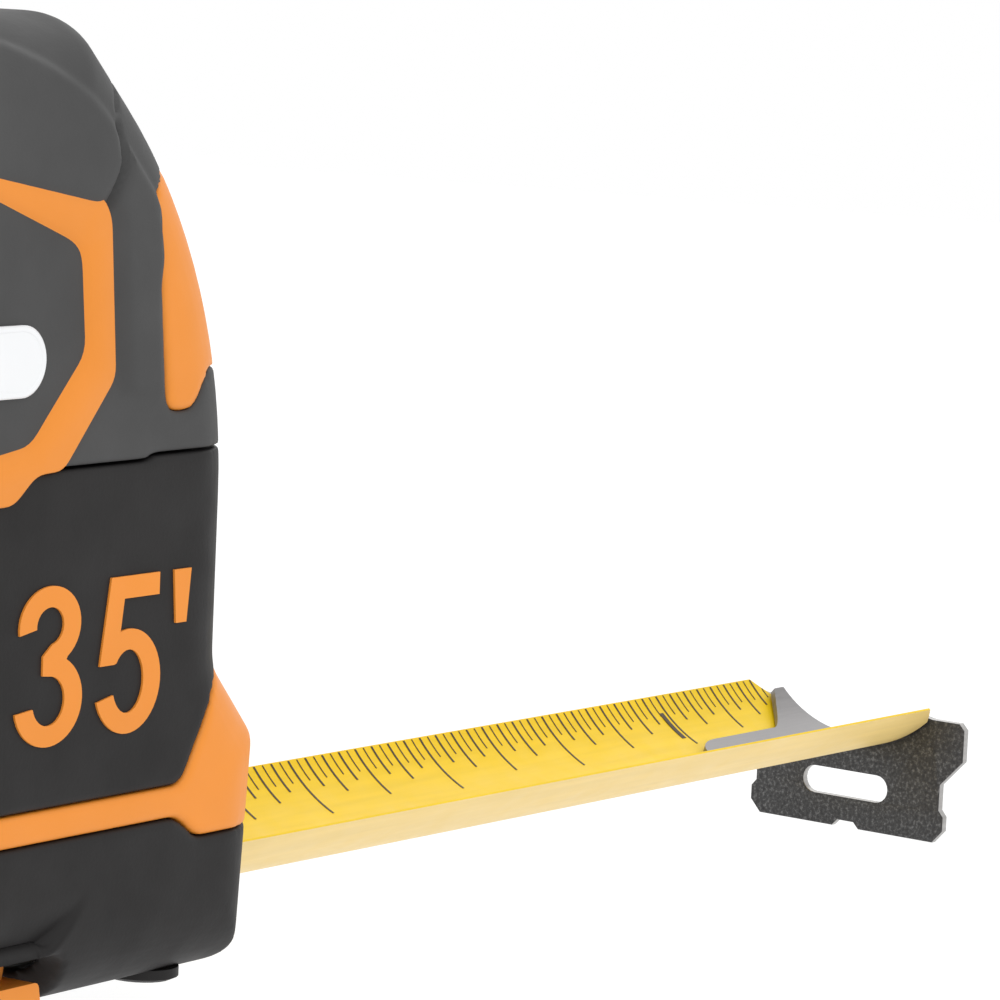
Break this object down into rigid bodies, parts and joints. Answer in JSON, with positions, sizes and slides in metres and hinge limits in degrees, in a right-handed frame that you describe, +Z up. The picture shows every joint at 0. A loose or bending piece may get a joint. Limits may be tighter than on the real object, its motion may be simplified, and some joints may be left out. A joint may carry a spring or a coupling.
{
  "type": "tape measure",
  "caption": "Hand tape measure with a rubber-covered case, thumb lock, finger brake, belt clip and a curved steel blade pulled part way out to a double hook.",
  "frame": {"origin": "on the flat of the base under the front foot, in the middle of the width", "axes": "+X the way the blade pulls out, +Z up from the base, -Y the side with the length numerals"},
  "size_m": [0.2479, 0.0616, 0.1017],
  "materials": {
    "shell": "moulded, fine texture",
    "grip": "matte soft-touch rubber",
    "cover": "matte, darker and harder than the grip",
    "trim": "satin orange",
    "badge": "smooth, plain",
    "blade": "yellow lacquer with dark graduations",
    "hook": "mottled dark coating, worn bright at the edges",
    "rivet": "satin",
    "screw": "zinc plated",
    "spring": "blued spring steel",
    "plastic": "moulded nylon"
  },
  "bodies": {
    "case": {"case_near": "shell", "case_far": "shell", "upper_grip_near": "grip", "upper_grip_far": "grip", "lower_cover_near": "cover", "lower_cover_far": "cover", "base_cover": "cover", "nose_band": "trim", "front_trim_near": "trim", "front_trim_far": "trim", "emblem_ring": "trim", "badge": "badge", "numeral_3": "trim", "numeral_5": "trim", "foot_mark": "trim", "case_screw_1": "screw", "case_screw_2": "screw", "case_screw_3": "screw", "case_screw_4": "screw", "belt_clip": "screw", "clip_screw": "screw", "spindle": "plastic", "blade_lead": "blade"},
    "reel": {"reel_drum": "plastic", "reel_cover": "plastic", "mainspring": "spring", "blade_coil": "blade"},
    "blade": {"blade": "blade", "rivet_1": "rivet", "rivet_2": "rivet"},
    "hook": {"hook": "hook"},
    "lock": {"lock_button": "trim"},
    "shoe": {"lock_shoe": "plastic"},
    "brake": {"brake_lever": "trim"}
  },
  "joints": [
    {"name": "blade_slide", "type": "slide", "parent": "case", "child": "blade", "axis": [1, 0, 0], "range_m": [-0.155, 0], "deforming": ["blade"]},
    {"name": "reel_spin", "type": "hinge", "parent": "case", "child": "reel", "pos_m": [-0.03, 0, 0.0465], "axis": [0, 1, 0], "range_deg": [-2, 290]},
    {"name": "hook_play", "type": "slide", "parent": "blade", "child": "hook", "axis": [1, 0, 0], "range_m": [0, 0.0011]},
    {"name": "lock_slide", "type": "hinge", "parent": "case", "child": "lock", "pos_m": [-0.0412, 0, 0.0475], "axis": [0, -1, 0], "range_deg": [0, 8]},
    {"name": "shoe_lift", "type": "slide", "parent": "case", "child": "shoe", "axis": [0, 0, 1], "range_m": [-0.0001, 0.0063]},
    {"name": "finger_brake", "type": "hinge", "parent": "case", "child": "brake", "pos_m": [-0.0184, 0, 0.0036], "axis": [0, 1, 0], "range_deg": [0, 2.8], "stiffness_Nm_per_rad": 0.5}
  ],
  "couplings": [
    {"joint": "reel_spin", "follows": "blade_slide", "rad_per_m": -32.26},
    {"joint": "shoe_lift", "follows": "lock_slide", "m_per_rad": 0.0437}
  ]
}
